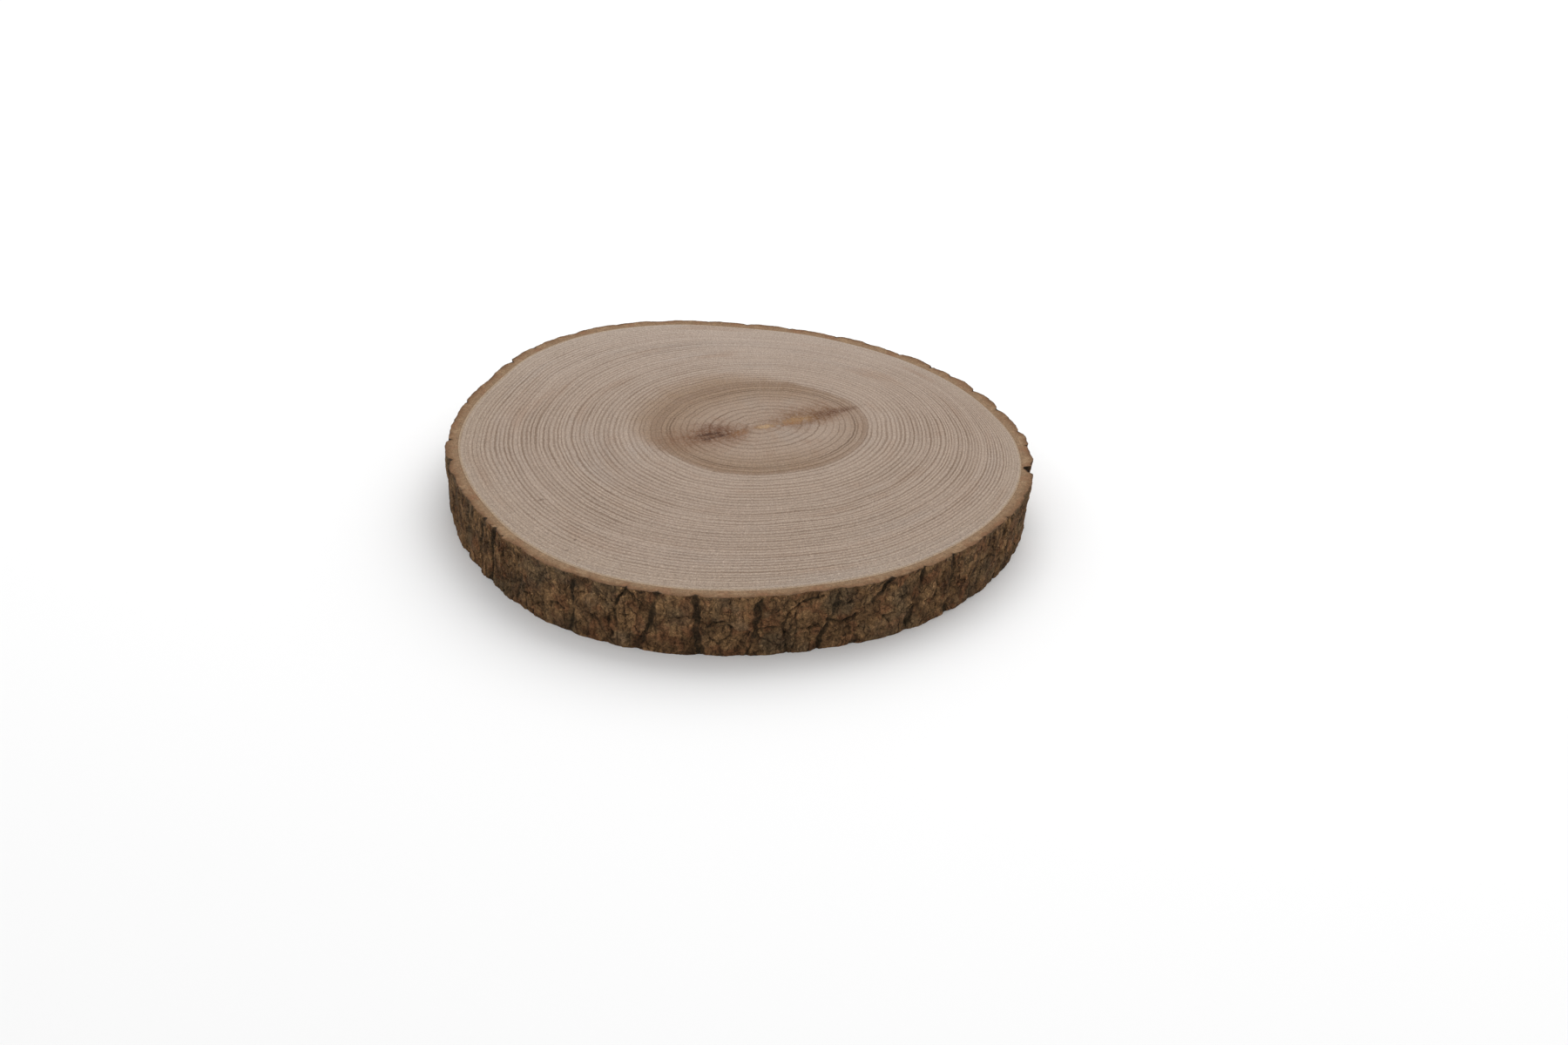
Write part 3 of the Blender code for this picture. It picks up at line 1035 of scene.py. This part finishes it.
def bark_section_material(fine_grain):
    """Sawn edge of the bark: thin layers from the cambium out to the dark crust."""
    material, nodes, shader = new_material("bark section", 0.75)
    place = nodes.place()
    band = nodes.attribute("band")
    depth = nodes.attribute("depth")
    wavy = nodes.math("ADD", nodes.spread(nodes.noise(place, 200.0, 3.0), 0.25), band)
    colour = nodes.mix(nodes.ramp(wavy, 0.1, 0.9), BARK_SECTION["inner"], BARK_SECTION["outer"])
    red = nodes.ramp(nodes.noise(place, 90.0, 3.0), 0.48, 0.7, 0.0, 0.6)
    colour = nodes.mix(red, colour, BARK_SECTION["red"])
    tan = nodes.ramp(nodes.noise(place, 170.0, 3.0), 0.5, 0.7, 0.0, 0.6)
    colour = nodes.mix(tan, colour, BARK_SECTION["tan"])
    layers = nodes.ramp(nodes.along(wavy, 6.0, 2.0), 0.45, 0.7, 0.0, 0.3)
    colour = nodes.mix(layers, colour, BARK_SECTION["layer"])
    colour = nodes.mix(nodes.ramp(band, 0.01, 0.06, 0.4, 0.0), colour, BARK_SECTION["cambium"])
    colour = nodes.mix(nodes.ramp(wavy, 0.78, 1.0, 0.0, 0.7), colour, BARK_SECTION["crust"])
    # Darker where a fissure meets the sawn edge: partly the crust's own dark colour, partly painted
    # shade from the fissure
    dark_fissure_and_shade = nodes.ramp(nodes.math("MULTIPLY_ADD", depth, 0.14, wavy), 0.95, 1.2, 0.0, 0.9)
    colour = nodes.mix(dark_fissure_and_shade, colour, BARK_SECTION["fissure"])
    colour, grains = speckled(nodes, fine_grain, colour, place, 0.0016, 0.5)
    colour, specks = speckled(nodes, fine_grain, colour, place, 0.0007, 0.6)
    nodes.set(shader.inputs["Base Color"], colour)
    nodes.set(shader.inputs["Normal"], nodes.bump((specks, 0.08), (grains, 0.16)))
    return material


def outer_bark_material(fine_grain):
    """Outside of the bark: patches and flakes of brown, fissures and cracks darkened partly as
    painted shade, a painted highlight on raised bark, fine grain.
    """
    material, nodes, shader = new_material("outer bark", 0.9)
    place = nodes.place()
    depth = nodes.attribute("depth")
    warp = nodes.noise(place, 260.0, 3.0, output="Color")
    bent = nodes.vector_math("MULTIPLY_ADD", warp, (0.004, 0.004, 0.004), place)[0]
    colour = bark_patches(nodes, place, bent, depth)

    chips = {"Vector": nodes.mapped(bent, (1, 1, 0.8)), "Scale": 330.0}
    chip_tone = nodes.add("ShaderNodeTexVoronoi", chips).outputs["Color"]
    chip_tone = nodes.add("ShaderNodeSeparateColor", {"Color": chip_tone}).outputs["Red"]
    chipped = nodes.ramp(nodes.noise(place, 170.0, 2.0), 0.42, 0.6)
    # Painted shade in the gaps between chips, which are also bumped lower
    painted_chip_gap_shade = gaps(nodes, chips, 0.09, chipped)
    light = nodes.ramp(chip_tone, 0.0, 1.0, 0.74, 1.24, "LINEAR")
    colour = nodes.shaded(colour, light)
    colour = nodes.mix(nodes.product(painted_chip_gap_shade, 0.3), colour, OUTER_BARK["gap"])

    fibres = nodes.noise(nodes.mapped(bent, (620, 620, 110)), 1.0, 3.0, 0.6)
    colour = nodes.mix(nodes.ramp(fibres, 0.35, 0.52, 0.6, 0.0), colour, OUTER_BARK["fibre"])
    # Painted highlight: the higher the bark's relief, the lighter its colour
    ridge = nodes.ramp(nodes.attribute("relief"), 0.2, 1.3, 0.0, 0.5)
    colour = nodes.mix(ridge, colour, OUTER_BARK["ridge"])
    # Furrows, grooves, wrinkles and cracks darkened by how deep they lie: partly their own dark
    # colour, partly painted shade
    uneven = nodes.ramp(nodes.noise(bent, 210.0, 3.0), 0.3, 0.6, 0.7, 1.0)
    furrow = nodes.product(nodes.ramp(depth, 0.3, 1.4, 0.0, 0.85), uneven)
    colour = nodes.mix(furrow, colour, OUTER_BARK["furrow"])
    # Fine cracks between cells, darkened as painted shade and bumped lower
    cells = {"Vector": nodes.mapped(bent, (1, 1, 0.7)), "Scale": 125.0}
    cracked = nodes.ramp(nodes.noise(place, 120.0, 2.0), 0.47, 0.58)
    crack = gaps(nodes, cells, 0.05, cracked)
    colour = nodes.mix(nodes.product(crack, 0.45), colour, OUTER_BARK["crack"])

    colour, grains = speckled(nodes, fine_grain, colour, bent, 0.0016, 1.05)
    colour, specks = speckled(nodes, fine_grain, colour, bent, 0.0006, 1.1)
    nodes.set(shader.inputs["Base Color"], colour)
    normal = nodes.bump(
        (specks, 0.2), (grains, 0.5), (fibres, 0.6), (chip_tone, 0.35), (painted_chip_gap_shade, -0.4),
        (crack, -0.7),
    )
    nodes.set(shader.inputs["Normal"], normal)
    return material


def bark_patches(nodes, place, bent, depth):
    """Brown of the bark, in patches and flakes of several tones."""
    patch = nodes.noise(bent, 95.0, 4.0, 0.62)
    colour = nodes.mix(nodes.ramp(patch, 0.38, 0.62), OUTER_BARK["brown"], OUTER_BARK["light"])
    tone = nodes.attribute("tone")
    colour = nodes.mix(nodes.ramp(tone, 0.5, 1.0, 0.0, 0.45), colour, OUTER_BARK["flake"])
    red = nodes.ramp(nodes.noise(bent, 130.0, 3.0), 0.50, 0.62, 0.0, 0.65)
    colour = nodes.mix(red, colour, OUTER_BARK["red"])
    tan = nodes.ramp(nodes.noise(bent, 110.0, 4.0, 0.6), 0.60, 0.65, 0.0, 0.6)
    # Partly painted shade: no tan flakes in the deeper places, so that they stay dark
    tan = nodes.product(tan, nodes.ramp(depth, 0.2, 0.7, 1.0, 0.0))
    colour = nodes.mix(tan, colour, OUTER_BARK["tan"])
    film = nodes.ramp(nodes.noise(place, 48.0, 3.0), 0.48, 0.62, 0.0, 0.45)
    return nodes.mix(film, colour, OUTER_BARK["film"])


def gaps(nodes, cells, width, where):
    """Mask of the gaps between the cells of a pattern, in some places only."""
    pattern = nodes.add("ShaderNodeTexVoronoi", cells, feature="DISTANCE_TO_EDGE")
    return nodes.product(nodes.ramp(pattern.outputs["Distance"], 0.0, width, 1.0, 0.0), where)


def finish_slice():
    """Make the two pieces of the slice, with their materials and body."""
    fine_grain = make_fine_grain()
    wood = make_cut_wood()
    wood.data.materials.append(cut_wood_material(fine_grain, make_stain()))
    bark = make_bark()
    for material in (outer_bark_material(fine_grain), bark_section_material(fine_grain)):
        bark.data.materials.append(material)
    for face in bark.data.polygons:
        sawn = abs(face.center.z - THICKNESS / 2) > THICKNESS / 2 - MERGE_DISTANCE
        face.material_index = int(sawn)
        face.use_smooth = True
    for piece, slot in ((wood, "wood"), (bark, "bark")):
        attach(piece, "root")
        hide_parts("wood_slice")
        reset_selection()
        piece.select_set(True)
        bpy.context.view_layer.objects.active = piece
        bpy.ops.object.shade_smooth_by_angle(angle=math.radians(SMOOTH_DEGREES))


def add_floor():
    """Pale floor that the slice lies on."""
    reset_selection()
    bpy.ops.mesh.primitive_plane_add(size=FLOOR_SIZE, location=(0, 0, 0))
    floor = bpy.context.object
    floor.name = "floor"
    material, _, shader = new_material("pale floor", 0.9)
    shader.inputs["Base Color"].default_value = (FLOOR_GREY, FLOOR_GREY, FLOOR_GREY, 1.0)
    floor.data.materials.append(material)


def add_studio():
    """Even white light from all round, and one soft light above and behind the slice."""
    world = bpy.data.worlds.new("studio")
    world.use_nodes = True
    background = world.node_tree.nodes["Background"]
    background.inputs["Color"].default_value = (1.0, 1.0, 1.0, 1.0)
    background.inputs["Strength"].default_value = SKY_STRENGTH
    bpy.context.scene.world = world
    bpy.context.scene.view_settings.view_transform = "Standard"
    lamp = bpy.data.lights.new("soft light above", "AREA")
    lamp.size = LIGHT_SIZE
    lamp.energy = LIGHT_POWER
    light = bpy.data.objects.new("soft light above", lamp)
    bpy.context.collection.objects.link(light)
    light.location = LIGHT_PLACE
    light.rotation_euler = (-Vector(LIGHT_PLACE)).to_track_quat("-Z", "Y").to_euler()


def add_camera():
    """Camera in front of the slice, as in the photo."""
    camera = bpy.data.cameras.new("camera")
    camera.lens = CAMERA_LENS
    camera.sensor_width = CAMERA_SENSOR
    camera.clip_start = 0.05
    camera.clip_end = 30.0
    seat = bpy.data.objects.new("camera", camera)
    bpy.context.collection.objects.link(seat)
    seat.location = CAMERA_PLACE
    seat.rotation_euler = (math.radians(CAMERA_TILT_DEGREES), 0, 0)
    bpy.context.scene.camera = seat


finish_slice()
add_floor()
add_studio()
add_camera()
